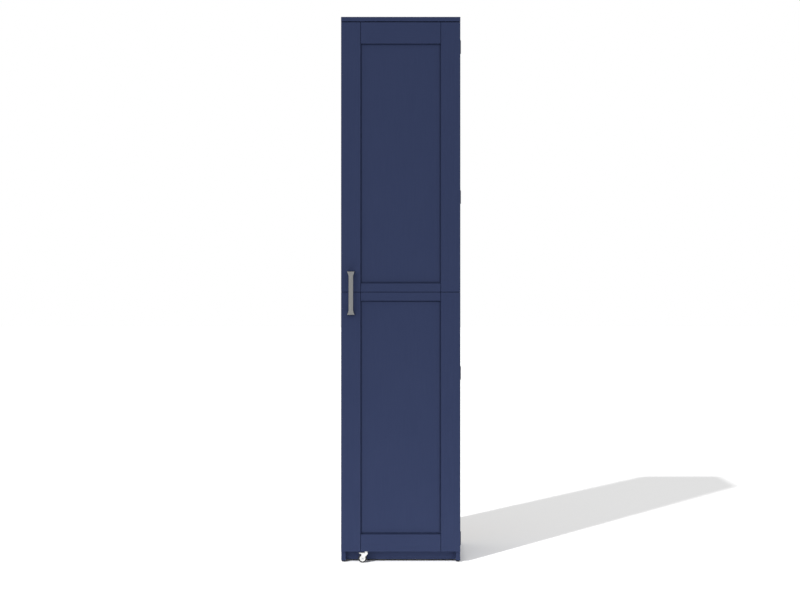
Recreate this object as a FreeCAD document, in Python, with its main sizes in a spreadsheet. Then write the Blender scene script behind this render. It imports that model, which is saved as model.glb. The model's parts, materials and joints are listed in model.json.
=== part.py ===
import FreeCAD, Part
import os
import re
import Sketcher

# Tall narrow storage cabinet with one split-frame door, in millimetres.
# +Z is up, the door faces -Y, the hinges are at +X and the pull at -X.
# The origin is on the floor, under the middle of the whole reach from the pull to the back.

SIZES = {
    # Case
    "cabinet_width": 400,
    "cabinet_height": 1829,
    "cabinet_depth": 390,
    "board": 15,
    "edge_ease": 0.8,
    "back_sheet": 3,
    "back_inset": 2,
    "back_seam": 0.5,
    "kick_height": 33,
    "kick_setback": 25,
    "fixed_setback": 8,
    # Loose shelves and their pins
    "shelf_setback": 25,
    "shelf_side_play": 1,
    "shelf_back_play": 2,
    "pin_radius": 2.5,
    "pin_depth": 9,
    "pin_tab_reach": 7,
    "pin_tab_width": 10,
    "pin_tab_rise": 3,
    "pin_tab_drop": 2,
    "pin_edge_in": 40,
    "pin_pitch": 32,
    # Board joints
    "joint_edge_in": 60,
    "cam_radius": 7.5,
    "cam_depth": 12,
    "cam_set": 24,
    "cam_bore_radius": 3.2,
    "cam_bore_past": 3,
    "cam_slot_length": 9,
    "cam_slot_width": 1.4,
    "cam_slot_depth": 1.6,
    "bolt_thread_radius": 2.5,
    "bolt_thread_length": 10,
    "bolt_shank_radius": 3,
    "bolt_shank_length": 14,
    "bolt_neck_radius": 1.8,
    "bolt_head_radius": 2.8,
    "bolt_head_length": 4,
    "dowel_radius": 4,
    "dowel_short": 10,
    "dowel_long": 20,
    "dowel_ease": 1,
    "hole_play": 0.05,
    "hole_end_play": 0.5,
    "overrun": 1,
    # Back nails
    "nail_radius": 0.7,
    "nail_length": 18,
    "nail_head_radius": 2.2,
    "nail_head_thick": 0.6,
    "nail_end_in": 40,
    "nail_edge_in": 4,
    # Floor glides
    "glide_height": 5,
    "glide_radius": 7,
    "glide_ease": 1,
    "glide_nail_radius": 1.2,
    "glide_nail_length": 16,
    "glide_inset": 15,
    # Wall bracket
    "bracket_width": 44,
    "bracket_leg": 30,
    "bracket_thick": 2,
    "bracket_hole_radius": 2.75,
    "bracket_hole_spacing": 24,
    "bracket_hole_drop": 18,
    # Door
    "door_thick": 15,
    "door_gap": 2,
    "door_reveal": 0.15,
    "door_top_gap": 3,
    "door_bottom": 38,
    "split_height": 907,
    "split_gap": 1.6,
    "stile_width": 65,
    "top_rail": 71.5,
    "middle_rail": 28,
    "bottom_rail": 57.5,
    "frame_ease": 0.6,
    "joint_gap": 1.3,
    "panel_recess": 7,
    "field_rise": 3.5,
    "tongue_thick": 3,
    "groove_depth": 9,
    "groove_play": 0.1,
    "tongue_short": 0.5,
    "shadow_gap": 3.5,
    "foot_gap": 5,
    # Hinges
    "hinge_low_in": 42,
    "hinge_below_split": 272,
    "hinge_above_split": 319,
    "hinge_top_in": 81,
    "hinge_length": 44,
    "hinge_inset": -0.1,
    "knuckle_radius": 2.2,
    "knuckle_gap": 0.4,
    "knuckle_air": 0.4,
    "knuckle_bite": 0.9,
    "hinge_pin_radius": 1.1,
    "hinge_pin_head_radius": 1.9,
    "hinge_pin_head": 1,
    "leaf_thick": 1.4,
    "leaf_air": 1,
    "case_flange": 22,
    "case_screw_in": 12,
    "door_leaf_reach": 50,
    "door_screw_far": 42,
    "door_screw_near": 27,
    "hinge_screw_spread": 14,
    # Plate screws, countersunk, and the cross recess of every screw
    "screw_head_radius": 3,
    "screw_radius": 1.5,
    "screw_length": 12,
    "screw_tip": 2,
    "recess_length": 3.6,
    "recess_width": 0.9,
    "recess_depth": 0.9,
    # Plates that join the door halves
    "plate_in": 16.5,
    "plate_width": 16,
    "plate_length": 110,
    "plate_thick": 2,
    # Magnetic catch and its strike
    "catch_in": 25,
    "catch_width": 32,
    "catch_ear": 10,
    "catch_ear_thick": 4,
    "catch_depth": 24,
    "catch_height": 13,
    "catch_air": 0.3,
    "magnet_width": 26,
    "magnet_depth": 12,
    "magnet_height": 7,
    "magnet_proud": 0.5,
    "magnet_play": 0.1,
    "strike_width": 34,
    "strike_height": 13,
    # Door bumpers
    "bumper_radius": 4,
    "bumper_air": 0.3,
    "bumper_in": 30,
    # Pull
    "handle_in": 33.8,
    "handle_reach": 30,
    "handle_length": 148,
    "handle_drop": 3.7,
    "handle_foot_width": 26,
    "handle_foot_length": 13,
    "handle_flare": 18,
    "handle_foot_edge": 2.5,
    "handle_bar_width": 15,
    "handle_bar_thick": 7,
    "handle_end_lean": 3,
    "handle_inner_lean": 9,
    "handle_round": 1.6,
    "handle_screw_spacing": 128,
    "handle_screw_radius": 2,
    "handle_screw_bite": 11,
    "handle_screw_head_radius": 4,
    "handle_screw_head": 2.4,
    # Caster
    "caster_in": 18.85,
    "caster_trail": 12,
    "wheel_radius": 14,
    "tyre_thick": 4.5,
    "wheel_width": 8,
    "wheel_ease": 1.6,
    "wheel_dish": 1.2,
    "wheel_rim": 2.6,
    "wheel_hub_radius": 3.6,
    "axle_radius": 1.5,
    "axle_head_radius": 2.6,
    "axle_head": 0.8,
    "wheel_air": 0.5,
    "fork_cheek": 2.5,
    "boss_height": 3.7,
    "hood_thick": 4,
    "hood_tail": 12,
    "hood_tip": 2,
    "fork_ear": 3.8,
    "fork_web": 1,
    "boss_radius": 5,
    "boss_air": 0.3,
    "stem_radius": 3,
    "stem_length": 22,
    "stem_ease": 0.8,
    "socket_radius": 4.5,
    "socket_depth": 26,
    "socket_flange_radius": 6,
    "socket_flange": 1,
}

# Places worked out from the sizes
PLACES = {
    "half_width": "cabinet_width / 2",
    "door_front": "(handle_reach - cabinet_depth) / 2",
    "door_middle": "door_front + door_thick / 2",
    "door_back": "door_front + door_thick",
    "case_front": "door_back + door_gap",
    "rear": "(handle_reach + cabinet_depth) / 2",
    "case_back": "rear - back_sheet",
    "case_middle": "(case_front + case_back) / 2",
    "inner_half": "half_width - board",
    "side_middle": "half_width - board / 2",
    "top_under": "cabinet_height - board",
    "kick_top": "glide_height + kick_height",
    "kick_front": "case_front + kick_setback",
    "kick_middle": "kick_front + board / 2",
    "floor_top": "kick_top + board",
    "fixed_under": "split_height - board / 2",
    "fixed_top": "split_height + board / 2",
    "lower_bay": "(fixed_under - floor_top - 2 * board) / 3",
    "upper_bay": "(top_under - fixed_top - 2 * board) / 3",
    "joint_front": "case_front + joint_edge_in",
    "joint_back": "case_back - joint_edge_in",
    "pin_front": "case_front + shelf_setback + pin_edge_in",
    "pin_back": "case_back - shelf_back_play - pin_edge_in",
    "back_half": "half_width - back_inset",
    "back_low": "glide_height + back_inset",
    "back_high": "cabinet_height - back_inset",
    "door_half": "half_width - door_reveal",
    "door_top": "top_under - door_top_gap",
    "lower_top": "split_height - split_gap / 2",
    "upper_bottom": "split_height + split_gap / 2",
    "rail_half": "door_half - stile_width",
    "field_front": "door_front + panel_recess",
    "tongue_front": "field_front + field_rise",
    "tongue_back": "tongue_front + tongue_thick",
    "tongue_reach": "groove_depth - tongue_short",
    "groove_front": "tongue_front - groove_play",
    "groove_back": "tongue_back + groove_play",
    "hinge_x": "half_width - hinge_inset",
    "hinge_y": "door_back + door_gap / 2",
    "hinge_height_1": "door_bottom + hinge_low_in",
    "hinge_height_2": "split_height - hinge_below_split",
    "hinge_height_3": "split_height + hinge_above_split",
    "hinge_height_4": "door_top - hinge_top_in",
    "knuckle_third": "(hinge_length - 2 * knuckle_gap) / 3",
    "knuckle_wall": "hinge_x - knuckle_radius + knuckle_bite",
    "case_leaf_edge": "inner_half - leaf_thick",
    "door_leaf_edge": "case_leaf_edge - leaf_air",
    "plate_x": "rail_half + plate_in",
    "catch_x": "-(rail_half - catch_in)",
    "magnet_front": "door_back + leaf_thick + catch_air",
    "catch_front": "magnet_front + magnet_proud",
    "catch_low": "fixed_under - catch_height",
    "catch_middle": "fixed_under - (catch_ear_thick + catch_height) / 2",
    "handle_x": "-(door_half - handle_in)",
    "handle_z": "split_height - handle_drop",
    "swivel_x": "-(rail_half - caster_in)",
    "hub_rim": "wheel_radius - tyre_thick",
    "fork_width": "wheel_width + 2 * wheel_air + 2 * fork_cheek",
    "boss_top": "door_bottom - socket_flange - boss_air",
    "hood_top": "boss_top - boss_height",
    "hood_under": "hood_top - hood_thick",
    "slot_width": "wheel_width + 2 * wheel_air",
}

# Counts, and shares of the pieces that carry the places
PIN_ROWS = 5
NAILS_PER_SIDE = 6
NAIL_SHARES = (-0.6, 0.6)
PLATE_SCREW_SHARES = (-0.4, -0.15, 0.15, 0.4)
CATCH_SCREW_SHARE = 0.65
KICK_BOLT_SHARE = 0.65
KICK_DOWEL_SHARE = 0.22
FULL_TURN = 360
ROUGH_LENGTH = 1
TINY = 1e-6

UP = FreeCAD.Vector(0, 0, 1)
TO_RIGHT = FreeCAD.Rotation(UP, FreeCAD.Vector(1, 0, 0))
TO_LEFT = FreeCAD.Rotation(UP, FreeCAD.Vector(-1, 0, 0))
TO_BACK = FreeCAD.Rotation(UP, FreeCAD.Vector(0, 1, 0))
TO_FRONT = FreeCAD.Rotation(UP, FreeCAD.Vector(0, -1, 0))
TO_FLOOR = FreeCAD.Rotation(UP, FreeCAD.Vector(0, 0, -1))
HALF_ROUND = FreeCAD.Rotation(UP, FULL_TURN / 2)

doc = FreeCAD.newDocument("TallStorageCabinet")
sheet = doc.addObject("Spreadsheet::Sheet", "Sizes")
for row, (alias, value) in enumerate(SIZES.items(), start=1):
    sheet.set(f"A{row}", alias.replace("_", " "))
    sheet.set(f"B{row}", str(value))
    sheet.setAlias(f"B{row}", alias)
doc.recompute()

subparts = []


# Helpers: formulas, placed pieces, cuts and copies

def formula(text):
    """Spell out the named places and point each size at its cell."""
    def spell(match):
        word = match.group(0)
        if word in PLACES:
            return f"({formula(PLACES[word])})"
        if word not in SIZES:
            raise KeyError(word)
        return f"Sizes.{word}"
    return re.sub(r"[a-z]\w*", spell, str(text))


def bind(piece, **sizes):
    for name, text in sizes.items():
        piece.setExpression(name, formula(text))
    return piece


def put(piece, x=0, y=0, z=0, turn=None):
    if turn:
        piece.Placement = FreeCAD.Placement(FreeCAD.Vector(), turn)
    for letter, text in (("x", x), ("y", y), ("z", z)):
        piece.setExpression(f"Placement.Base.{letter}", formula(text))
    return piece


def keep(label, piece):
    piece.Label = label
    subparts.append(piece)
    return piece


def box(name, x, y, z):
    """A plain block between the low and high ends given along each axis."""
    piece = doc.addObject("Part::Box", name)
    spans = [f"({high}) - ({low})" for low, high in (x, y, z)]
    bind(piece, Length=spans[0], Width=spans[1], Height=spans[2])
    return put(piece, x[0], y[0], z[0])


def rod(name, radius, length, x, y, z, turn=None):
    piece = doc.addObject("Part::Cylinder", name)
    bind(piece, Radius=radius, Height=length)
    return put(piece, x, y, z, turn)


def fuse(name, pieces):
    piece = doc.addObject("Part::MultiFuse", name)
    piece.Shapes = pieces
    return piece


def group(name, pieces):
    piece = doc.addObject("Part::Compound", name)
    piece.Links = pieces
    return piece


def cut(name, base, tools):
    piece = doc.addObject("Part::Cut", name)
    piece.Base = base
    piece.Tool = group(f"{name}_tools", tools)
    return piece


def copy(name, master, x, y, z, turn=None):
    piece = doc.addObject("App::Link", name)
    piece.LinkedObject = master
    return put(piece, x, y, z, turn)


def sketch_on(body, role, loops):
    """A sketch of closed straight-sided loops whose corners follow the sizes."""
    sketch = body.newObject("Sketcher::SketchObject", f"{body.Name}_sketch")
    plane = next(f for f in body.Origin.OriginFeatures if f.Role == role)
    sketch.AttachmentSupport = (plane, [""])
    sketch.MapMode = "FlatFace"
    for corners in loops:
        first = sketch.GeometryCount
        count = len(corners)
        rough = [FreeCAD.Vector(i, i * i, 0) for i in range(count)]
        for i in range(count):
            sketch.addGeometry(Part.LineSegment(rough[i], rough[(i + 1) % count]), False)
        for i in range(count):
            following = first + (i + 1) % count
            sketch.addConstraint(Sketcher.Constraint("Coincident", first + i, 2, following, 1))
        for i, corner in enumerate(corners):
            for kind, text in zip(("DistanceX", "DistanceY"), corner):
                name = f"{kind}_{first + i}"
                rule = Sketcher.Constraint(kind, -1, 1, first + i, 1, ROUGH_LENGTH)
                number = sketch.addConstraint(rule)
                sketch.renameConstraint(number, name)
                sketch.setExpression(f"Constraints.{name}", formula(text))
    return sketch


def revolve(body, corners):
    """Turn a (radius, height) outline about the body's own Z axis."""
    sketch = sketch_on(body, "XZ_Plane", [corners])
    turning = body.newObject("PartDesign::Revolution", f"{body.Name}_turning")
    turning.Profile = sketch
    turning.ReferenceAxis = (sketch, ["V_Axis"])
    turning.Angle = FULL_TURN
    return turning


def turned(name, corners):
    body = doc.addObject("PartDesign::Body", name)
    revolve(body, corners)
    return body


def pad(body, role, corners, length, both_ways=False):
    feature = body.newObject("PartDesign::Pad", f"{body.Name}_pad")
    feature.Profile = sketch_on(body, role, [corners])
    if both_ways:
        feature.SideType = "Symmetric"
    return bind(feature, Length=length)


def pocket(body, role, loops, length):
    """Cut the loops out of the body, half of the length to each side of the plane."""
    feature = body.newObject("PartDesign::Pocket", f"{body.Name}_pocket")
    feature.Profile = sketch_on(body, role, loops)
    feature.SideType = "Symmetric"
    return bind(feature, Length=length)


def chosen_edges(feature, choose):
    doc.recompute()
    limits = feature.Shape.BoundBox
    numbered = enumerate(feature.Shape.Edges, start=1)
    return [f"Edge{i}" for i, edge in numbered if choose(edge.BoundBox, limits)]


def on_front(edge, limits):
    return edge.YMax - limits.YMin < TINY


def on_top(edge, limits):
    return limits.ZMax - edge.ZMin < TINY


def on_front_or_top(edge, limits):
    return on_front(edge, limits) or on_top(edge, limits)


def off_the_back(edge, limits):
    return limits.YMax - edge.YMin > TINY


def chamfer(body, feature, size, choose):
    eased = body.newObject("PartDesign::Chamfer", f"{body.Name}_eased")
    eased.Base = (feature, chosen_edges(feature, choose))
    return bind(eased, Size=size)


def sawn(name, corners, low, high, ease, choose=on_front):
    """An upright length of a sawn section, with its front arrises eased."""
    body = doc.addObject("PartDesign::Body", name)
    feature = pad(body, "XY_Plane", corners, f"({high}) - ({low})")
    chamfer(body, feature, ease, choose)
    return put(body, z=low)


def rectangle(x, y):
    return [(x[0], y[0]), (x[1], y[0]), (x[1], y[1]), (x[0], y[1])]


SIDES = (("left", -1, TO_LEFT, TO_RIGHT), ("right", 1, TO_RIGHT, TO_LEFT))


# Masters of the small repeated pieces: joint face or head at z = 0, pointing into the wood along +Z

def cross_cut(name, blank, face):
    """A screw blank with a cross recess in its head, whose outer face is at the given height."""
    long_way = ("-recess_length / 2", "recess_length / 2")
    thin_way = ("-recess_width / 2", "recess_width / 2")
    depth = (f"{face} - overrun", f"{face} + recess_depth")
    return cut(name, blank, [
        box(f"{name}_slot", long_way, thin_way, depth),
        box(f"{name}_cross_slot", thin_way, long_way, depth),
    ])


plate_screw = cross_cut("plate_screw", turned("plate_screw_blank", [
    (0, 0), ("screw_head_radius", 0), ("screw_radius", "leaf_thick"),
    ("screw_radius", "screw_length - screw_tip"), (0, "screw_length"),
]), 0)
plate_screw_hole = turned("plate_screw_hole", [
    (0, "-overrun"), ("screw_head_radius + hole_play", "-overrun"), ("screw_head_radius + hole_play", 0),
    ("screw_radius + hole_play", "leaf_thick"), ("screw_radius + hole_play", "screw_length + hole_play"),
    (0, "screw_length + hole_play"),
])
cam_bolt = turned("cam_bolt", [
    (0, "-bolt_thread_length"), ("bolt_thread_radius", "-bolt_thread_length"), ("bolt_thread_radius", 0),
    ("bolt_shank_radius", 0), ("bolt_shank_radius", "bolt_shank_length"),
    ("bolt_neck_radius", "bolt_shank_length"), ("bolt_neck_radius", "cam_set - bolt_head_length / 2"),
    ("bolt_head_radius", "cam_set - bolt_head_length / 2"),
    ("bolt_head_radius", "cam_set + bolt_head_length / 2"), (0, "cam_set + bolt_head_length / 2"),
])
cam_disc = turned("cam_disc", [
    (0, 0), ("cam_radius", 0), ("cam_radius", "cam_depth"), (0, "cam_depth"),
])
cam_bore = rod("cam_bore", "cam_bore_radius", "cam_radius + overrun + cam_bore_past",
               "-cam_radius - overrun", 0, "board / 2", TO_RIGHT)
cam_slot = box("cam_slot", ("-cam_slot_length / 2", "cam_slot_length / 2"),
               ("-cam_slot_width / 2", "cam_slot_width / 2"), ("-overrun", "cam_slot_depth"))
cam_lock = cut("cam_lock", cam_disc, [cam_bore, cam_slot])
dowel = turned("dowel", [
    (0, "-dowel_short"), ("dowel_radius - dowel_ease", "-dowel_short"),
    ("dowel_radius", "dowel_ease - dowel_short"), ("dowel_radius", "dowel_long - dowel_ease"),
    ("dowel_radius - dowel_ease", "dowel_long"), (0, "dowel_long"),
])
nail = turned("nail", [
    (0, "-nail_head_thick"), ("nail_head_radius", "-nail_head_thick"), ("nail_head_radius", 0),
    ("nail_radius", 0), ("nail_radius", "nail_length"), (0, "nail_length"),
])
glide = turned("glide", [
    (0, "-glide_height"), ("glide_radius - glide_ease", "-glide_height"),
    ("glide_radius", "glide_ease - glide_height"), ("glide_radius", 0),
    ("glide_nail_radius", 0), ("glide_nail_radius", "glide_nail_length"), (0, "glide_nail_length"),
])
shelf_pin = fuse("shelf_pin", [
    rod("shelf_pin_shank", "pin_radius", "pin_depth", 0, 0, 0, TO_RIGHT),
    box("shelf_pin_tab", ("-pin_tab_reach", 0), ("-pin_tab_width / 2", "pin_tab_width / 2"),
        ("-pin_tab_drop", "pin_tab_rise")),
])


# Fasteners at their places, with the holes that take them

screw_holes = {}


def screws(label, places):
    """Countersunk screws at (x, y, z, turn) places; their holes are kept under the same label."""
    driven, screw_holes[label] = [], []
    for i, place in enumerate(places):
        driven.append(copy(f"{label}_{i}", plate_screw, *place))
        screw_holes[label].append(copy(f"{label}_hole_{i}", plate_screw_hole, *place))
    return keep(label, group(label, driven))


cam_bolts, cam_locks, wood_dowels = [], [], []
holes = {name: [] for name in (
    "left_side_panel", "right_side_panel", "top_board", "bottom_board", "fixed_shelf", "kick_board")}
pockets = {name: [] for name in holes}


def cam_joint(carrier, bolted, x, y, z, along, cam_place, cam_turn):
    """A bolt in the bolted board, drawn into the carrier board by a cam lock."""
    number = len(cam_bolts)
    cam_bolts.append(copy(f"cam_bolt_{number}", cam_bolt, x, y, z, along))
    cam_locks.append(copy(f"cam_lock_{number}", cam_lock, *cam_place, cam_turn))
    holes[bolted].append(rod(
        f"bolt_hole_{number}", "bolt_thread_radius + hole_play", "bolt_thread_length + hole_end_play",
        x, y, z, along.multiply(TO_FLOOR)))
    holes[carrier].append(rod(
        f"bolt_bore_{number}", "bolt_shank_radius + 2 * hole_play", "cam_set", x, y, z, along))
    pockets[carrier].append(rod(
        f"cam_pocket_{number}", "cam_radius + hole_play", "cam_depth + hole_play", *cam_place, cam_turn))


def dowel_joint(carrier, other, x, y, z, along):
    number = len(wood_dowels)
    wood_dowels.append(copy(f"dowel_{number}", dowel, x, y, z, along))
    holes[carrier].append(rod(
        f"dowel_hole_{number}", "dowel_radius + hole_play", "dowel_long + hole_end_play", x, y, z, along))
    holes[other].append(rod(
        f"dowel_seat_{number}", "dowel_radius + hole_play", "dowel_short + hole_end_play",
        x, y, z, along.multiply(TO_FLOOR)))


# Bottom board, fixed shelf, kick board and top board are bolted and dowelled to the sides
for side, sign, outward, inward in SIDES:
    panel = f"{side}_side_panel"
    face = f"{sign} * inner_half"
    cam_x = f"{sign} * (inner_half - cam_set)"
    cam_turn = FreeCAD.Rotation(UP, 0) if sign < 0 else HALF_ROUND
    for name, under in (("bottom_board", "kick_top"), ("fixed_shelf", "fixed_under")):
        middle = f"{under} + board / 2"
        for y in ("joint_front", "joint_back"):
            cam_joint(name, panel, face, y, middle, inward, (cam_x, y, under), cam_turn)
        dowel_joint(name, panel, face, "case_middle", middle, inward)
    bolt_z = f"glide_height + {KICK_BOLT_SHARE} * kick_height"
    dowel_z = f"glide_height + {KICK_DOWEL_SHARE} * kick_height"
    cam_joint("kick_board", panel, face, "kick_middle", bolt_z, inward,
              (cam_x, "kick_front + board", bolt_z), TO_FRONT.multiply(cam_turn))
    dowel_joint("kick_board", panel, face, "kick_middle", dowel_z, inward)
    standing = outward if sign > 0 else outward.multiply(HALF_ROUND)
    for y in ("joint_front", "joint_back"):
        cam_joint(panel, "top_board", f"{sign} * side_middle", y, "top_under", TO_FLOOR,
                  (face, y, "top_under - cam_set"), standing)
    dowel_joint(panel, "top_board", f"{sign} * side_middle", "case_middle", "top_under", TO_FLOOR)

keep("cam_bolts", group("cam_bolts", cam_bolts))
keep("cam_locks", group("cam_locks", cam_locks))
keep("wood_dowels", group("wood_dowels", wood_dowels))


# Two thin back panels, nailed along their edges
BACKS = (("lower_back_panel", "back_low", "split_height - back_seam / 2"),
         ("upper_back_panel", "split_height + back_seam / 2", "back_high"))
LOW_BOARDS = {"lower_back_panel": ("bottom_board", "kick_top + board / 2"),
              "upper_back_panel": ("fixed_shelf", "split_height + nail_edge_in")}
HIGH_BOARDS = {"lower_back_panel": ("fixed_shelf", "split_height - nail_edge_in"),
               "upper_back_panel": ("top_board", "top_under + board / 2")}

nails = []
nail_holes = {name: [] for name, low, high in BACKS}


def nail_at(back, board_name, x, z):
    number = len(nails)
    nails.append(copy(f"nail_{number}", nail, x, "rear", z, TO_FRONT))
    hole = rod(f"nail_hole_{number}", "nail_radius + hole_play", "nail_length + overrun",
               x, "rear + overrun / 2", z, TO_FRONT)
    nail_holes[back].append(hole)
    holes[board_name].append(hole)


for back, low, high in BACKS:
    for side, sign, outward, inward in SIDES:
        for i in range(NAILS_PER_SIDE):
            share = i / (NAILS_PER_SIDE - 1)
            run = f"({high}) - ({low}) - 2 * nail_end_in"
            nail_at(back, f"{side}_side_panel", f"{sign} * side_middle",
                    f"({low}) + nail_end_in + {share} * ({run})")
    for board_name, z in (LOW_BOARDS[back], HIGH_BOARDS[back]):
        for share in NAIL_SHARES:
            nail_at(back, board_name, f"{share} * inner_half", z)

keep("back_nails", group("back_nails", nails))

wall_holes = [
    rod(f"wall_hole_{sign}", "bracket_hole_radius", "bracket_thick + back_sheet + 2 * overrun",
        f"{sign} * bracket_hole_spacing / 2", "case_back - bracket_thick - overrun",
        "top_under - bracket_hole_drop", TO_BACK)
    for sign in (-1, 1)
]
for back, low, high in BACKS:
    sheet_box = box(f"{back}_sheet", ("-back_half", "back_half"), ("case_back", "rear"), (low, high))
    bored = wall_holes if back == "upper_back_panel" else []
    keep(back, cut(back, sheet_box, nail_holes[back] + bored))


# Wall bracket against tipping: under the top board, with two holes through the back
screws("wall_bracket_screws", [
    (f"{sign} * bracket_hole_spacing / 2", "case_back - bracket_hole_drop", "top_under - bracket_thick")
    for sign in (-1, 1)
])
bracket_x = ("-bracket_width / 2", "bracket_width / 2")
bracket = fuse("bracket_angle", [
    box("bracket_flat", bracket_x, ("case_back - bracket_leg", "case_back"),
        ("top_under - bracket_thick", "top_under")),
    box("bracket_upright", bracket_x, ("case_back - bracket_thick", "case_back"),
        ("top_under - bracket_leg", "top_under")),
])
keep("wall_bracket", cut("wall_bracket", bracket, screw_holes["wall_bracket_screws"] + wall_holes))
holes["top_board"] += screw_holes["wall_bracket_screws"]


# Loose shelves, their pins and the rows of pin holes
SHELVES = {
    "loose_shelf_1": "floor_top + lower_bay",
    "loose_shelf_2": "floor_top + 2 * lower_bay + board",
    "loose_shelf_3": "fixed_top + upper_bay",
    "loose_shelf_4": "fixed_top + 2 * upper_bay + board",
}
pins = []
for name, under in SHELVES.items():
    reach = "inner_half - shelf_side_play"
    plan = rectangle((f"-({reach})", reach), ("case_front + shelf_setback", "case_back - shelf_back_play"))
    keep(name, sawn(name, plan, under, f"{under} + board", "edge_ease"))
    for side, sign, outward, inward in SIDES:
        for column, y in (("front", "pin_front"), ("back", "pin_back")):
            face = f"{sign} * inner_half"
            pin_z = f"{under} - pin_tab_rise"
            turn = None if sign > 0 else HALF_ROUND
            pins.append(copy(f"pin_{name}_{side}_{column}", shelf_pin, face, y, pin_z, turn))
            for i in range(PIN_ROWS):
                step = i - PIN_ROWS // 2
                holes[f"{side}_side_panel"].append(rod(
                    f"pin_hole_{name}_{side}_{column}_{i}", "pin_radius + hole_play",
                    "pin_depth + hole_end_play", face, y, f"{pin_z} + {step} * pin_pitch", outward))
keep("shelf_pins", group("shelf_pins", pins))


# Floor glides, nailed into the bottom edges of the sides
glides = []
for side, sign, outward, inward in SIDES:
    for end, y in (("front", "case_front + glide_inset"), ("back", "case_back - glide_inset")):
        x = f"{sign} * side_middle"
        glides.append(copy(f"glide_{side}_{end}", glide, x, y, "glide_height"))
        holes[f"{side}_side_panel"].append(rod(
            f"glide_hole_{side}_{end}", "glide_nail_radius + hole_play",
            "glide_nail_length + hole_end_play", x, y, "glide_height"))
keep("floor_glides", group("floor_glides", glides))


# Hinges: a case leaf folded round the side's front edge, a flat door leaf and a headed pin
HINGES = {f"hinge_{i}": f"hinge_height_{i}" for i in (1, 2, 3, 4)}
case_screw_places, door_screw_places = [], []
for height in HINGES.values():
    for sign in (-1, 1):
        z = f"{height} + {sign} * hinge_screw_spread"
        case_screw_places.append(("case_leaf_edge", "case_front + case_screw_in", z, TO_RIGHT))
        door_screw_places.append(("hinge_x - door_screw_far", "door_back + leaf_thick", z, TO_FRONT))
    door_screw_places.append(("hinge_x - door_screw_near", "door_back + leaf_thick", height, TO_FRONT))
screws("hinge_case_screws", case_screw_places)
screws("hinge_door_screws", door_screw_places)

hinge_pin = turned("hinge_pin", [
    (0, "-hinge_length / 2"), ("hinge_pin_radius", "-hinge_length / 2"),
    ("hinge_pin_radius", "hinge_length / 2"), ("hinge_pin_head_radius", "hinge_length / 2"),
    ("hinge_pin_head_radius", "hinge_length / 2 + hinge_pin_head"), (0, "hinge_length / 2 + hinge_pin_head"),
])
reliefs = []


def knuckle(name, low):
    return rod(name, "knuckle_radius", "knuckle_third", "hinge_x", "hinge_y", low)


for hinge, height in HINGES.items():
    low, high = f"{height} - hinge_length / 2", f"{height} + hinge_length / 2"
    bore = rod(f"{hinge}_bore", "hinge_pin_radius + hole_play", "hinge_length + 2 * overrun",
               "hinge_x", "hinge_y", f"{low} - overrun")
    reliefs.append(rod(f"{hinge}_relief", "knuckle_radius + knuckle_air",
                       "hinge_length + 2 * (hinge_pin_head + knuckle_air)",
                       "hinge_x", "hinge_y", f"{low} - hinge_pin_head - knuckle_air"))
    case_pieces = [box(f"{hinge}_flange", ("case_leaf_edge", "inner_half"),
                       ("case_front", "case_front + case_flange"), (low, high))]
    for end, start in (("low", low), ("high", f"{high} - knuckle_third")):
        tab = box(f"{hinge}_tab_{end}", ("case_leaf_edge", "knuckle_wall"),
                  ("case_front - leaf_thick", "case_front"), (start, f"{start} + knuckle_third"))
        case_pieces += [tab, knuckle(f"{hinge}_knuckle_{end}", start)]
    case_leaf = fuse(f"{hinge}_case_blank", case_pieces)
    keep(f"{hinge}_case_leaf", cut(
        f"{hinge}_case_leaf", case_leaf, [bore] + screw_holes["hinge_case_screws"]))
    middle = f"{height} - knuckle_third / 2"
    leaf_y = ("door_back", "door_back + leaf_thick")
    door_leaf = fuse(f"{hinge}_door_blank", [
        box(f"{hinge}_plate", ("hinge_x - door_leaf_reach", "door_leaf_edge"), leaf_y, (low, high)),
        box(f"{hinge}_tongue", ("door_leaf_edge", "knuckle_wall"), leaf_y,
            (middle, f"{middle} + knuckle_third")),
        knuckle(f"{hinge}_knuckle_middle", middle),
    ])
    keep(f"{hinge}_door_leaf", cut(
        f"{hinge}_door_leaf", door_leaf, [bore] + screw_holes["hinge_door_screws"]))
    keep(f"{hinge}_pin", group(f"{hinge}_pin", [
        copy(f"{hinge}_pin_copy", hinge_pin, "hinge_x", "hinge_y", height)]))


# Door halves: two stiles with a groove, two tongued rails and a set-in panel with a raised flat field
joining_places = []
for sign in (-1, 1):
    for share in PLATE_SCREW_SHARES:
        joining_places.append((f"{sign} * plate_x", "door_back + plate_thick",
                               f"split_height + {share} * plate_length", TO_FRONT))
screws("joining_plate_screws", joining_places)
screws("strike_screws", [
    (f"catch_x + {sign} * (strike_width / 2 - 2 * screw_head_radius)", "door_back + leaf_thick",
     "catch_middle", TO_FRONT)
    for sign in (-1, 1)
])
handle_bores = [
    rod(f"handle_bore_{sign}", "handle_screw_radius + hole_play", "door_thick + 2 * overrun",
        "handle_x", "door_front - overrun", f"handle_z + {sign} * handle_screw_spacing / 2", TO_BACK)
    for sign in (-1, 1)
]
socket_seat = rod("socket_seat", "socket_radius + hole_play", "socket_depth + hole_end_play",
                  "swivel_x", "door_middle", "door_bottom")


def stile(label, sign, low, high, cuts):
    inner, floor = f"{sign} * rail_half", f"{sign} * (rail_half + groove_depth)"
    section = [
        (f"{sign} * door_half", "door_front"), (inner, "door_front"), (inner, "groove_front"),
        (floor, "groove_front"), (floor, "groove_back"), (inner, "groove_back"),
        (inner, "door_back"), (f"{sign} * door_half", "door_back"),
    ]
    keep(label, cut(label, sawn(f"{label}_blank", section, low, high, "frame_ease"), cuts))


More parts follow.
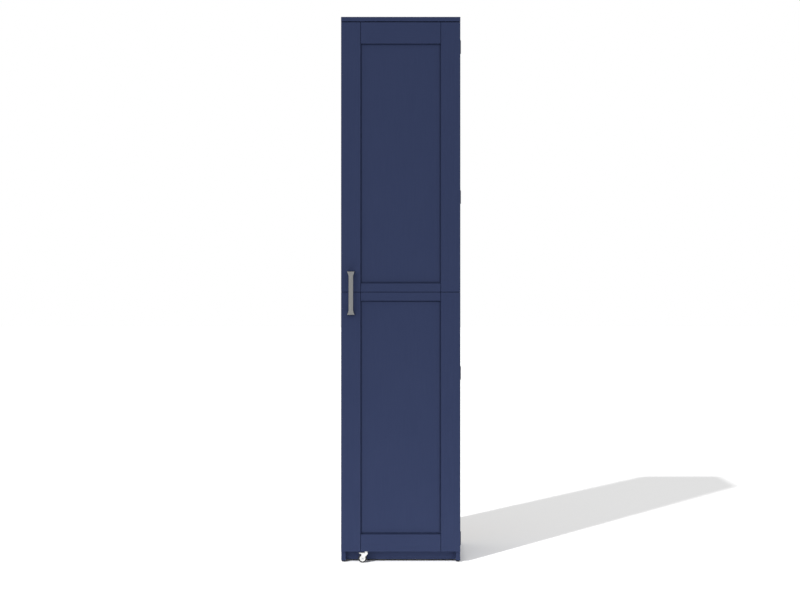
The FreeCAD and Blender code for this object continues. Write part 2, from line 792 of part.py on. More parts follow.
def rail(label, low, high, groove, cuts):
    """A rail whose front shoulders stop short of the stiles, which leaves the fine joint line."""
    shoulder, tongue = "rail_half - joint_gap", "rail_half + tongue_reach"
    right = [(shoulder, "door_front"), (shoulder, "tongue_front"), (tongue, "tongue_front"),
             (tongue, "tongue_back"), ("rail_half", "tongue_back"), ("rail_half", "door_back")]
    left = [(f"-({x})", y) for x, y in reversed(right)]
    blank = sawn(f"{label}_blank", right + left, low, high, "frame_ease")
    reach = "rail_half + groove_depth"
    slot = box(f"{label}_groove", (f"-({reach})", reach), ("groove_front", "groove_back"), groove)
    keep(label, cut(label, blank, [slot] + cuts))


def set_in_panel(label, low, high):
    """A panel held by its tongue, whose field stands inside a narrow shadow gap."""
    reach = "rail_half + tongue_reach"
    inside = "rail_half - shadow_gap"
    tongue = box(f"{label}_tongue", (f"-({reach})", reach), ("tongue_front", "tongue_back"),
                 (f"{low} - tongue_reach", f"{high} + tongue_reach"))
    plan = rectangle((f"-({inside})", inside), ("field_front", "tongue_front"))
    field = sawn(f"{label}_field", plan, f"{low} + foot_gap", f"{high} - shadow_gap", "frame_ease")
    keep(label, fuse(label, [tongue, field]))


HALVES = (
    ("upper", "upper_bottom", "door_top", "middle_rail", "top_rail", [], []),
    ("lower", "door_bottom", "lower_top", "bottom_rail", "middle_rail", [socket_seat],
     screw_holes["strike_screws"]),
)
for half, low, high, low_rail, high_rail, low_cuts, high_cuts in HALVES:
    plate_cuts = screw_holes["joining_plate_screws"]
    stile(f"{half}_left_stile", -1, low, high, plate_cuts + handle_bores)
    stile(f"{half}_right_stile", 1, low, high, plate_cuts + reliefs + screw_holes["hinge_door_screws"])
    low_edge, high_edge = f"{low} + {low_rail}", f"{high} - {high_rail}"
    low_groove = (f"{low_edge} - groove_depth", f"{low_edge} + overrun")
    high_groove = (f"{high_edge} - overrun", f"{high_edge} + groove_depth")
    rail(f"{half}_bottom_rail", low, low_edge, low_groove, low_cuts)
    rail(f"{half}_top_rail", high_edge, high, high_groove, high_cuts)
    set_in_panel(f"{half}_panel", low_edge, high_edge)

plates = [
    box(f"joining_plate_{sign}",
        (f"{sign} * plate_x - plate_width / 2", f"{sign} * plate_x + plate_width / 2"),
        ("door_back", "door_back + plate_thick"),
        ("split_height - plate_length / 2", "split_height + plate_length / 2"))
    for sign in (-1, 1)
]
keep("joining_plates", cut(
    "joining_plates", group("joining_plate_blanks", plates), screw_holes["joining_plate_screws"]))


# Magnetic catch under the fixed shelf, and its strike on the door
ear_reach = "catch_width / 2 + catch_ear"
screws("catch_screws", [
    (f"catch_x + {sign} * (catch_width / 2 + catch_ear / 2)",
     f"catch_front + {CATCH_SCREW_SHARE} * catch_depth", "fixed_under - catch_ear_thick")
    for sign in (-1, 1)
])
holes["fixed_shelf"] += screw_holes["catch_screws"]
catch_y = ("catch_front", "catch_front + catch_depth")
catch_blank = fuse("catch_blank", [
    box("catch_block", ("catch_x - catch_width / 2", "catch_x + catch_width / 2"), catch_y,
        ("catch_low", "fixed_under")),
    box("catch_ears", (f"catch_x - ({ear_reach})", f"catch_x + {ear_reach}"), catch_y,
        ("fixed_under - catch_ear_thick", "fixed_under")),
])


def magnet_block(name, play, front):
    return box(name, (f"catch_x - magnet_width / 2 - {play}", f"catch_x + magnet_width / 2 + {play}"),
               (front, f"catch_front + magnet_depth + {play}"),
               (f"catch_middle - magnet_height / 2 - {play}", f"catch_middle + magnet_height / 2 + {play}"))


magnet_seat = magnet_block("magnet_seat", "magnet_play", "catch_front - overrun")
keep("catch_housing", cut("catch_housing", catch_blank, [magnet_seat] + screw_holes["catch_screws"]))
keep("catch_magnet", magnet_block("catch_magnet", 0, "magnet_front"))
strike = box("strike_blank", ("catch_x - strike_width / 2", "catch_x + strike_width / 2"),
             ("door_back", "door_back + leaf_thick"),
             ("catch_middle - strike_height / 2", "catch_middle + strike_height / 2"))
keep("strike_plate", cut("strike_plate", strike, screw_holes["strike_screws"]))


# Rubber bumpers on the free edge of the door, opposite the left side's front edge
bumper = turned("bumper", [
    (0, 0), ("bumper_radius", 0), ("bumper_radius", "(door_gap - bumper_air) / 2"),
    ("bumper_radius - door_gap / 2", "door_gap - bumper_air"), (0, "door_gap - bumper_air"),
])
bumper_heights = ("door_bottom + bumper_in", "lower_top - bumper_in",
                  "upper_bottom + bumper_in", "door_top - bumper_in")
keep("door_bumpers", group("door_bumpers", [
    copy(f"bumper_{i}", bumper, "-side_middle", "door_back", z, TO_BACK)
    for i, z in enumerate(bumper_heights)
]))


# Pull: an upright bar with flared ends, on two leaning legs, across the split in the door
handle_body = doc.addObject("PartDesign::Body", "handle_blank")
bar_back = "-(handle_reach - handle_bar_thick)"
foot_end = "handle_length / 2"
foot_inner = "handle_length / 2 - handle_foot_length"
upper_half = [(0, foot_inner), (bar_back, f"{foot_inner} - handle_inner_lean")]
upper_outer = [("-handle_reach", f"{foot_end} - handle_end_lean"), (0, foot_end)]
side_view = (
    [(y, f"-({z})") for y, z in upper_half] + list(reversed(upper_half))
    + list(reversed(upper_outer)) + [(y, f"-({z})") for y, z in upper_outer]
)
pad(handle_body, "YZ_Plane", side_view, "handle_foot_width", both_ways=True)
flare_start, flare_end = f"{foot_end} - handle_flare", f"{foot_end} - handle_foot_edge"
flanks = []
for sign in (-1, 1):
    bar_edge, foot_edge = f"{sign} * handle_bar_width / 2", f"{sign} * handle_foot_width / 2"
    outside = f"{sign} * (handle_foot_width / 2 + overrun)"
    upper_flank = [(bar_edge, flare_start), (foot_edge, flare_end), (outside, flare_end)]
    flanks.append(upper_flank + [(x, f"-({z})") for x, z in reversed(upper_flank)])
flared = pocket(handle_body, "XZ_Plane", flanks, "2 * (handle_reach + overrun)")
rounding = handle_body.newObject("PartDesign::Fillet", "handle_rounding")
rounding.Base = (flared, chosen_edges(flared, off_the_back))
bind(rounding, Radius="handle_round")
put(handle_body, "handle_x", "door_front", "handle_z")
handle_taps = [
    rod(f"handle_tap_{sign}", "handle_screw_radius + hole_play",
        "handle_screw_bite + hole_end_play + overrun", "handle_x", "door_front + overrun",
        f"handle_z + {sign} * handle_screw_spacing / 2", TO_FRONT)
    for sign in (-1, 1)
]
keep("handle", cut("handle", handle_body, handle_taps))
handle_screw = cross_cut("handle_screw", turned("handle_screw_blank", [
    (0, "-handle_screw_head"), ("handle_screw_head_radius", "-handle_screw_head"),
    ("handle_screw_head_radius", 0), ("handle_screw_radius", 0),
    ("handle_screw_radius", "door_thick + handle_screw_bite"), (0, "door_thick + handle_screw_bite"),
]), "-handle_screw_head")
keep("handle_screws", group("handle_screws", [
    copy(f"handle_screw_{sign}", handle_screw, "handle_x", "door_back",
         f"handle_z + {sign} * handle_screw_spacing / 2", TO_FRONT)
    for sign in (-1, 1)
]))


# Caster under the free side of the door: socket in the bottom rail, hooded fork on a stem, axle, wheel, tyre
socket = turned("socket_blank", [
    ("stem_radius + hole_play", "-socket_flange"), ("socket_flange_radius", "-socket_flange"),
    ("socket_flange_radius", 0), ("socket_radius", 0), ("socket_radius", "socket_depth"),
    ("stem_radius + hole_play", "socket_depth"),
])
put(socket, "swivel_x", "door_middle", "door_bottom")
keep("caster_socket", socket)

fork_body = doc.addObject("PartDesign::Body", "fork_blank")
tail = "-(caster_trail + hood_tail)"
cheek_view = [
    ("boss_radius", "hood_top"), (tail, "hood_top"), (tail, "hood_top - hood_tip"),
    ("-(caster_trail + fork_ear)", "hood_under"), ("-(caster_trail + fork_ear)", "wheel_radius - fork_ear"),
    ("-(caster_trail - fork_ear)", "wheel_radius - fork_ear"), ("boss_radius", "hood_under"),
]
cheeks = pad(fork_body, "XZ_Plane", cheek_view, "fork_width", both_ways=True)
chamfer(fork_body, cheeks, "stem_ease", on_top)
slot_end = "-(caster_trail - wheel_radius - fork_web)"
slot_top = "2 * wheel_radius + fork_web"
slot_view = [(f"{tail} - overrun", "-overrun"), (slot_end, "-overrun"), (slot_end, slot_top),
             (f"{tail} - overrun", slot_top)]
pocket(fork_body, "XZ_Plane", [slot_view], "slot_width")
revolve(fork_body, [
    (0, "hood_top - fork_web"), ("boss_radius", "hood_top - fork_web"), ("boss_radius", "boss_top"),
    ("stem_radius", "boss_top"), ("stem_radius", "boss_top + stem_length - stem_ease"),
    ("stem_radius - stem_ease", "boss_top + stem_length"), (0, "boss_top + stem_length"),
])
put(fork_body, "swivel_x", "door_middle", 0)
axle_bore = rod("axle_bore", "axle_radius + hole_play", "fork_width + 2 * overrun",
                "swivel_x - caster_trail", "door_middle - fork_width / 2 - overrun", "wheel_radius", TO_BACK)
keep("caster_fork", cut("caster_fork", fork_body, [axle_bore]))

axle = turned("caster_axle", [
    (0, "-fork_width / 2 - axle_head"), ("axle_head_radius", "-fork_width / 2 - axle_head"),
    ("axle_head_radius", "-fork_width / 2"), ("axle_radius", "-fork_width / 2"),
    ("axle_radius", "fork_width / 2"), ("axle_head_radius", "fork_width / 2"),
    ("axle_head_radius", "fork_width / 2 + axle_head"), (0, "fork_width / 2 + axle_head"),
])
keep("caster_axle", put(axle, "swivel_x - caster_trail", "door_middle", "wheel_radius", TO_BACK))

wheel_bore = "axle_radius + hole_play"
wheel_half = [
    (wheel_bore, "wheel_width / 2"), ("wheel_hub_radius", "wheel_width / 2"),
    ("wheel_hub_radius", "wheel_width / 2 - wheel_dish"),
    ("hub_rim - wheel_rim", "wheel_width / 2 - wheel_dish"),
    ("hub_rim - wheel_rim", "wheel_width / 2"), ("hub_rim", "wheel_width / 2"),
]
wheel = turned("caster_wheel", wheel_half + [(r, f"-({z})") for r, z in reversed(wheel_half)])
keep("caster_wheel", put(wheel, "swivel_x - caster_trail", "door_middle", "wheel_radius", TO_BACK))
tyre_half = [("hub_rim", "wheel_width / 2"), ("wheel_radius - wheel_ease", "wheel_width / 2"),
             ("wheel_radius", "wheel_width / 2 - wheel_ease")]
tyre = turned("caster_tyre", tyre_half + [(r, f"-({z})") for r, z in reversed(tyre_half)])
keep("caster_tyre", put(tyre, "swivel_x - caster_trail", "door_middle", "wheel_radius", TO_BACK))


# Case boards, drilled for all that they carry
holes["right_side_panel"] += screw_holes["hinge_case_screws"]
for side, sign, outward, inward in SIDES:
    label = f"{side}_side_panel"
    plan = rectangle((f"{sign} * inner_half", f"{sign} * half_width"), ("case_front", "case_back"))
    blank = sawn(f"{label}_blank", plan, "glide_height", "top_under", "edge_ease")
    milled = cut(f"{label}_milled", blank, pockets[label] + (reliefs if sign > 0 else []))
    keep(label, cut(label, milled, holes[label]))

top_plan = rectangle(("-half_width", "half_width"), ("door_front", "case_back"))
top_blank = sawn("top_board_blank", top_plan, "top_under", "cabinet_height", "edge_ease", on_front_or_top)
keep("top_board", cut("top_board", top_blank, holes["top_board"]))

inner_x = ("-inner_half", "inner_half")
INNER_BOARDS = {
    "bottom_board": (("case_front", "case_back"), ("kick_top", "floor_top")),
    "fixed_shelf": (("case_front + fixed_setback", "case_back"), ("fixed_under", "fixed_top")),
    "kick_board": (("kick_front", "kick_front + board"), ("glide_height", "kick_top")),
}
for label, (y, z) in INNER_BOARDS.items():
    milled = cut(f"{label}_milled", box(f"{label}_blank", inner_x, y, z), pockets[label])
    keep(label, cut(label, milled, holes[label]))


# Check every object, then write one file for each sub-part
doc.recompute()
failed = [o.Label for o in doc.Objects if "Invalid" in o.State or "Error" in o.State]
for piece in subparts:
    if piece.Shape.isNull() or not piece.Shape.isValid() or not piece.Shape.Solids:
        failed.append(piece.Label)
if failed:
    raise RuntimeError(f"not built: {failed}")
os.makedirs("parts", exist_ok=True)
for piece in subparts:
    piece.Shape.exportStep(f"parts/{piece.Label}.step")
print(len(subparts), "sub-parts written")
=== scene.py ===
import bpy
import bmesh
import json
import math
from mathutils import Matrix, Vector


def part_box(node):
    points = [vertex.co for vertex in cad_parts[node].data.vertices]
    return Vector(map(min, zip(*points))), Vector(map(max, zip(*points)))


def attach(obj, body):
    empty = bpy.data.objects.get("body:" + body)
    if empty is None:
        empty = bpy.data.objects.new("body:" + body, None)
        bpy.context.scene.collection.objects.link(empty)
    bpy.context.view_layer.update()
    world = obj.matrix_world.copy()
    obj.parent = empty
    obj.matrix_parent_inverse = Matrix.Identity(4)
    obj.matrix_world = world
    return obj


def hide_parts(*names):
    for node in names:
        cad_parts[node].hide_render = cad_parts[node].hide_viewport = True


# Tall storage cabinet, in metres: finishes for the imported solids, a finer pull and caster fork, floor, light
# and camera. +Z is up, the door faces -Y, the hinges are at +X and the pull at -X.

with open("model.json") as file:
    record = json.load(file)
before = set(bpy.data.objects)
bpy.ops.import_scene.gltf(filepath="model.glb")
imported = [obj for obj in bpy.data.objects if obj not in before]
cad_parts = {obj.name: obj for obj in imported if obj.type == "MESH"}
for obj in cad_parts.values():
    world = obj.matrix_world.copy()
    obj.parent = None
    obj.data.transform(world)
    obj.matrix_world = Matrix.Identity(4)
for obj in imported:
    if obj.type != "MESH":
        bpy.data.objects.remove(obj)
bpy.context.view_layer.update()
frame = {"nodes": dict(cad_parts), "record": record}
solids = frame["nodes"]
MM = 0.001


# Small helpers for colours and nodes

def linear(code):
    """An sRGB hex colour as the linear colour that a socket takes."""
    shares = [int(code[i:i + 2], 16) / 255 for i in (1, 3, 5)]
    return [s / 12.92 if s <= 0.04045 else ((s + 0.055) / 1.055) ** 2.4 for s in shares] + [1]


def add(tree, kind, values=None, links=None, **settings):
    """One node, with its settings, the values on its sockets and the outputs that feed them."""
    node = tree.nodes.new(f"ShaderNode{kind}")
    for name, setting in settings.items():
        setattr(node, name, setting)
    for socket, value in (values or {}).items():
        node.inputs[socket].default_value = value
    for socket, source in (links or {}).items():
        tree.links.new(source, node.inputs[socket])
    return node


def new_finish(name, **values):
    """A material with its one shader, and the Object coordinates that its patterns follow."""
    finish = bpy.data.materials.new(name)
    finish.use_nodes = True
    tree = finish.node_tree
    shader = tree.nodes["Principled BSDF"]
    for words, value in values.items():
        shader.inputs[words.replace("_", " ")].default_value = value
    return finish, tree, shader, add(tree, "TexCoord").outputs["Object"]


# Where the numbered sockets of a colour mix are
FIRST, SECOND, MIXED = 6, 7, 2


def lay_on(tree, shader, colour, gloss, height, strength, depth):
    """Feeds the shader a colour, a roughness and the relief of a height that is so many millimetres deep."""
    relief = add(tree, "Bump", {"Strength": strength, "Distance": depth * MM}, {"Height": height})
    tree.links.new(colour.outputs[MIXED], shader.inputs["Base Color"])
    tree.links.new(gloss.outputs[0], shader.inputs["Roughness"])
    tree.links.new(relief.outputs[0], shader.inputs["Normal"])


def edge_wear_and_highlight(tree, place, reach, grit):
    """0 on flat stretches, up to 1 in patches along worn edges; on the foil also a painted highlight."""
    edge = add(tree, "Bevel", {"Radius": reach}, samples=6)
    flat = add(tree, "NewGeometry")
    turn = add(tree, "VectorMath", {}, {0: edge.outputs[0], 1: flat.outputs["Normal"]},
               operation="DOT_PRODUCT")
    near = add(tree, "MapRange", {"From Min": 0.99, "From Max": 0.85}, {"Value": turn.outputs["Value"]})
    patches = add(tree, "TexNoise", {"Scale": 1 / grit, "Detail": 4}, {"Vector": place})
    broken = add(tree, "MapRange", {"From Min": 0.4, "From Max": 0.65}, {"Value": patches.outputs[0]})
    return add(tree, "Math", {}, {0: near.outputs[0], 1: broken.outputs[0]}, operation="MULTIPLY").outputs[0]


# Finishes

WEAR_AND_HIGHLIGHT_BLUE = linear("#5B6585")


def navy_foil(name, stretch, scuffed=0.0):
    """Particleboard faced with navy melamine foil, pressed under a satin plate.

    The eye gets an even deep blue with a soft sheen, a slight cloudiness over the whole board, shallow
    pressed pores along its length and edges a little paler, partly from wear and partly a painted highlight.
    """
    finish, tree, shader, place = new_finish(name, IOR=1.5, Specular_IOR_Level=0.12)
    # Real pores are about 0.4 mm wide and 12 mm long; drawn eight times as coarse, so that they show
    pore = 3.2 * MM
    along = add(tree, "Mapping", {"Scale": stretch}, {"Vector": place})
    pores = add(tree, "TexNoise", {"Scale": 1 / pore, "Detail": 3, "Roughness": 0.6},
                {"Vector": along.outputs[0]})
    clouds = add(tree, "TexNoise", {"Scale": 1 / (180 * MM), "Detail": 2}, {"Vector": place})
    blue = add(tree, "Mix", {FIRST: linear("#2F3959"), SECOND: linear("#333D5D")},
               {0: clouds.outputs[0]}, data_type="RGBA")
    lines = add(tree, "MapRange", {"From Min": 0.35, "From Max": 0.7, "To Max": 0.3},
                {"Value": pores.outputs[0]})
    grained = add(tree, "Mix", {SECOND: linear("#2C3553")},
                  {0: lines.outputs[0], FIRST: blue.outputs[MIXED]}, data_type="RGBA")
    # Paler edges: partly wear, partly a painted highlight where light would catch the rounded edge
    pale = add(tree, "Math", {1: 0.3}, {0: edge_wear_and_highlight(tree, place, 0.7 * MM, 25 * MM)}, operation="MULTIPLY")
    foil = add(tree, "Mix", {SECOND: WEAR_AND_HIGHLIGHT_BLUE}, {0: pale.outputs[0], FIRST: grained.outputs[MIXED]},
               data_type="RGBA")
    if scuffed:
        # Fine scratches from goods pushed in and out, about 0.3 mm wide and 60 mm long, drawn at 1.2 mm,
        # only on faces that look up
        pushed = add(tree, "Mapping", {"Scale": (1, 0.02, 1), "Rotation": (0, 0, 0.2)}, {"Vector": place})
        scrapes = add(tree, "TexNoise", {"Scale": 1 / (1.2 * MM), "Detail": 2},
                      {"Vector": pushed.outputs[0]})
        marks = add(tree, "MapRange", {"From Min": 0.62, "From Max": 0.72, "To Max": scuffed},
                    {"Value": scrapes.outputs[0]})
        facing = add(tree, "SeparateXYZ", {}, {0: add(tree, "NewGeometry").outputs["Normal"]})
        on_top = add(tree, "Math", {}, {0: marks.outputs[0], 1: facing.outputs["Z"]}, operation="MULTIPLY",
                     use_clamp=True)
        foil = add(tree, "Mix", {SECOND: WEAR_AND_HIGHLIGHT_BLUE}, {0: on_top.outputs[0], FIRST: foil.outputs[MIXED]},
                   data_type="RGBA")
    sheen = add(tree, "MapRange", {"To Min": 0.5, "To Max": 0.66}, {"Value": pores.outputs[0]})
    lay_on(tree, shader, foil, sheen, pores.outputs[0], 0.12, 0.1)
    return finish


def hardboard():
    """Thin hardboard, navy-printed inside and left raw behind.

    The raw side is warm brown with short pressed fibres and paler and darker flecks, quite matt.
    """
    finish, tree, shader, place = new_finish("hardboard", IOR=1.5, Specular_IOR_Level=0.2)
    # Fibres are about 0.3 mm thick and 6 mm long and lie both ways; drawn at 1.4 mm, so that they show
    strands = []
    for stretch in ((0.2, 1, 1), (1, 1, 0.2)):
        laid = add(tree, "Mapping", {"Scale": stretch, "Rotation": (0, 0.6, 0)}, {"Vector": place})
        strands.append(add(tree, "TexNoise", {"Scale": 1 / (1.4 * MM), "Detail": 5, "Roughness": 0.7,
                                              "Distortion": 0.4}, {"Vector": laid.outputs[0]}))
    fibre = add(tree, "Math", {}, {0: strands[0].outputs[0], 1: strands[1].outputs[0]},
                operation="MAXIMUM")
    clouds = add(tree, "TexNoise", {"Scale": 1 / (140 * MM), "Detail": 3}, {"Vector": place})
    brown = add(tree, "Mix", {FIRST: linear("#6E5438"), SECOND: linear("#8A6B49")},
                {0: clouds.outputs[0]}, data_type="RGBA")
    flecks = add(tree, "MapRange", {"From Min": 0.45, "From Max": 0.8}, {"Value": fibre.outputs[0]})
    fibrous = add(tree, "Mix", {SECOND: linear("#A5875F")},
                  {0: flecks.outputs[0], FIRST: brown.outputs[MIXED]}, data_type="RGBA")
    parts = add(tree, "SeparateXYZ", {}, {"Vector": place})
    raw_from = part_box("upper_back_panel")[1].y - 0.5 * MM
    raw = add(tree, "Math", {1: raw_from}, {0: parts.outputs["Y"]}, operation="GREATER_THAN")
    print_blue = add(tree, "Mix", {FIRST: linear("#2D3756"), SECOND: linear("#343E5E")},
                     {0: clouds.outputs[0]}, data_type="RGBA")
    sides = add(tree, "Mix", {}, {0: raw.outputs[0], FIRST: print_blue.outputs[MIXED],
                                  SECOND: fibrous.outputs[MIXED]}, data_type="RGBA")
    dull = add(tree, "MapRange", {"To Min": 0.6, "To Max": 0.85}, {"Value": fibre.outputs[0]})
    lay_on(tree, shader, sides, dull, fibre.outputs[0], 0.25, 0.3)
    return finish


def satin_nickel():
    """Zinc casting, brushed lengthwise and plated in dark satin nickel.

    Fine upright brush lines break a soft grey shine, and the edges are worn a little brighter.
    """
    finish, tree, shader, place = new_finish("satin_nickel", Metallic=1.0)
    # Brush lines are about 0.15 mm wide; drawn at 0.7 mm, so that they show
    drawn = add(tree, "Mapping", {"Scale": (1, 1, 0.02)}, {"Vector": place})
    brush = add(tree, "TexNoise", {"Scale": 1 / (0.7 * MM), "Detail": 4, "Roughness": 0.7},
                {"Vector": drawn.outputs[0]})
    lines = add(tree, "MapRange", {"From Min": 0.3, "From Max": 0.7}, {"Value": brush.outputs[0]})
    grey = add(tree, "Mix", {FIRST: linear("#727374"), SECOND: linear("#8D8D8C")},
               {0: lines.outputs[0]}, data_type="RGBA")
    bright = add(tree, "Math", {1: 0.5}, {0: edge_wear_and_highlight(tree, place, 0.8 * MM, 6 * MM)}, operation="MULTIPLY")
    plated = add(tree, "Mix", {SECOND: linear("#B5B5B3")},
                 {0: bright.outputs[0], FIRST: grey.outputs[MIXED]}, data_type="RGBA")
    shine = add(tree, "MapRange", {"To Min": 0.28, "To Max": 0.46}, {"Value": brush.outputs[0]})
    lay_on(tree, shader, plated, shine, brush.outputs[0], 0.25, 0.05)
    return finish


def painted_steel():
    """Stamped steel in a dark powder coat: a fine orange-peel skin, worn through to grey at its edges."""
    finish, tree, shader, place = new_finish("dark_hinge_steel", IOR=1.5)
    peel = add(tree, "TexNoise", {"Scale": 1 / (0.8 * MM), "Detail": 3}, {"Vector": place})
    paint = add(tree, "Mix", {FIRST: linear("#191C27"), SECOND: linear("#242938")}, {0: peel.outputs[0]},
                data_type="RGBA")
    bare = edge_wear_and_highlight(tree, place, 0.5 * MM, 4 * MM)
    skin = add(tree, "Mix", {SECOND: linear("#7E8288")}, {0: bare, FIRST: paint.outputs[MIXED]},
               data_type="RGBA")
    gloss = add(tree, "MapRange", {"To Min": 0.36, "To Max": 0.52}, {"Value": peel.outputs[0]})
    tree.links.new(bare, shader.inputs["Metallic"])
    lay_on(tree, shader, skin, gloss, peel.outputs[0], 0.2, 0.03)
    return finish


def zinc_steel():
    """Steel, bright zinc plated: cool silver with faint crystals of a few millimetres and light scuffs."""
    finish, tree, shader, place = new_finish("zinc_steel", Metallic=1.0)
    crystals = add(tree, "TexVoronoi", {"Scale": 1 / (2.5 * MM)}, {"Vector": place})
    scuffs = add(tree, "TexNoise", {"Scale": 1 / (1.2 * MM), "Detail": 5, "Roughness": 0.7},
                 {"Vector": place})
    tone = add(tree, "MapRange", {}, {"Value": crystals.outputs["Color"]})
    silver = add(tree, "Mix", {FIRST: linear("#B4B8BC"), SECOND: linear("#C9CCCE")},
                 {0: tone.outputs[0]}, data_type="RGBA")
    shine = add(tree, "MapRange", {"To Min": 0.25, "To Max": 0.5}, {"Value": scuffs.outputs[0]})
    lay_on(tree, shader, silver, shine, scuffs.outputs[0], 0.1, 0.05)
    return finish


def speckled(name, dark, pale, grit, rough, depth, **values):
    """A plain moulded, cast or turned surface: two close tones in grains of one size, which also stand out.

    The grain size and the relief's depth are in millimetres.
    """
    finish, tree, shader, place = new_finish(name, **values)
    grains = add(tree, "TexNoise", {"Scale": 1 / (grit * MM), "Detail": 4, "Roughness": 0.65},
                 {"Vector": place})
    tone = add(tree, "Mix", {FIRST: linear(dark), SECOND: linear(pale)}, {0: grains.outputs[0]},
               data_type="RGBA")
    shine = add(tree, "MapRange", {"To Min": rough[0], "To Max": rough[1]}, {"Value": grains.outputs[0]})
    lay_on(tree, shader, tone, shine, grains.outputs[0], 0.2, depth)
    return finish


# How far the foil's pores are drawn out along an upright and along a lying board
UPRIGHT, LYING = (1, 1, 0.03), (0.03, 1, 1)
foil_upright = navy_foil("navy_foil_upright", UPRIGHT)
foil_lying = navy_foil("navy_foil_lying", LYING)
foil_shelf = navy_foil("navy_foil_shelf", LYING, scuffed=0.35)
nickel = satin_nickel()
# Injection-moulded nylon: clean white, with a faint mould grain
nylon = speckled("white_nylon", "#E7E7E4", "#F3F3F1", 1.5, (0.35, 0.5), 0.05, IOR=1.53)
finishes = {
    "hardboard": hardboard(),
    # The same dark coat is on the joining plates behind the door's split, where it paints the split as shade
    "dark_hinge_steel": painted_steel(),
    "zinc_steel": zinc_steel(),
    "satin_nickel": nickel,
    "white_nylon": nylon,
    # Die-cast zinc: dull grey with a sandy skin
    "cast_zinc": speckled("cast_zinc", "#8F9396", "#A9ACAE", 1, (0.4, 0.6), 0.05, Metallic=1.0),
    # Turned beech: warm and pale, with short flecks
    "beech": speckled("beech", "#B48F63", "#CDAA7D", 2, (0.5, 0.7), 0.05),
    # Sintered magnet: charcoal and grainy
    "magnet_iron": speckled("magnet_iron", "#26272A", "#3A3B3E", 0.8, (0.5, 0.7), 0.05),
    # Moulded black plastic with a fine matt grain
    "black_plastic": speckled("black_plastic", "#121214", "#1D1D20", 0.8, (0.4, 0.6), 0.05),
    # Tyre rubber: near black and dull, a little dusty; its dark ring under the white wheel also paints the
    # shade where the wheel meets the floor
    "dark_rubber": speckled("dark_rubber", "#1C1C1D", "#2A2A2B", 0.6, (0.6, 0.8), 0.05),
    # Clear soft bumpers: milky, half see-through and smooth
    "clear_rubber": speckled("clear_rubber", "#CFCFC8", "#E0E0DA", 1, (0.2, 0.35), 0.02,
                             Transmission_Weight=0.6, IOR=1.5),
    # Moulded wheel: the same white, a little glossier
    "white_wheel": speckled("white_wheel", "#E8E8E6", "#F4F4F2", 1.5, (0.25, 0.4), 0.05, IOR=1.5),
}
UPRIGHT_BOARDS = ("left_side_panel", "right_side_panel", "stile", "upper_panel", "lower_panel")


def finish_for(node, slot):
    """The foil runs along each board, and is scuffed on those that carry goods."""
    if slot != "navy_laminate":
        return finishes[slot]
    if "shelf" in node or node == "bottom_board":
        return foil_shelf
    return foil_upright if node.endswith(UPRIGHT_BOARDS) else foil_lying


def dress(piece, finish):
    piece.data.materials.clear()
    piece.data.materials.append(finish)


for part in frame["record"]["subparts"]:
    dress(solids[part["node"]], finish_for(part["node"], part["material_slot"]))


# Pieces modelled by hand

# Edges that turn by more than the first angle are rounded, and those past the second stay crisp
ROUNDED_FROM, CRISP_FROM = math.radians(25), math.radians(40)
# A face looks along an axis when at least this share of its normal does
FACING = 0.9


def start(operator, name, **settings):
    """One primitive, with nothing else selected and its place and size in its mesh."""
    bpy.ops.object.select_all(action="DESELECT")
    operator(**settings)
    bpy.ops.object.transform_apply(location=True, rotation=True, scale=True)
    piece = bpy.context.object
    piece.name = name
    return piece


def block(name, low, high):
    low, high = Vector(low), Vector(high)
    return start(bpy.ops.mesh.primitive_cube_add, name, size=1, location=(low + high) / 2, scale=high - low)


def pick(piece, kind, test):
    """Selects in edit mode only the faces or points whose place and normal pass a test."""
    bpy.ops.mesh.select_mode(type=kind)
    bpy.ops.mesh.select_all(action="DESELECT")
    mesh = bmesh.from_edit_mesh(piece.data)
    for item in mesh.faces if kind == "FACE" else mesh.verts:
        if test(item.calc_center_median() if kind == "FACE" else item.co, item.normal):
            item.select_set(True)
    bmesh.update_edit_mesh(piece.data)


def draw_out(step, size=(1, 1, 1), about=(0, 0, 0)):
    """Extrudes what is picked by a step, and then sizes its far end about a point."""
    bpy.ops.mesh.extrude_region_move(TRANSFORM_OT_translate={"value": step})
    bpy.ops.transform.resize(value=size, center_override=about)


def apply_modifier(piece, kind, **settings):
    modifier = piece.modifiers.new(kind.lower(), kind)
    for name, setting in settings.items():
        setattr(modifier, name, setting)
    bpy.ops.object.modifier_apply(modifier=modifier.name)


def hand_over(piece, rounding, finish, body, node):
    """Rounds the edges of a shaped piece, gives it its finish and lets it stand for its solid."""
    apply_modifier(piece, "BEVEL", width=rounding, segments=3, limit_method="ANGLE",
                   angle_limit=ROUNDED_FROM)
    bpy.ops.object.shade_smooth_by_angle(angle=CRISP_FROM)
    apply_modifier(piece, "WEIGHTED_NORMAL", keep_sharp=True)
    dress(piece, finish)
    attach(piece, body)
    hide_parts(node)


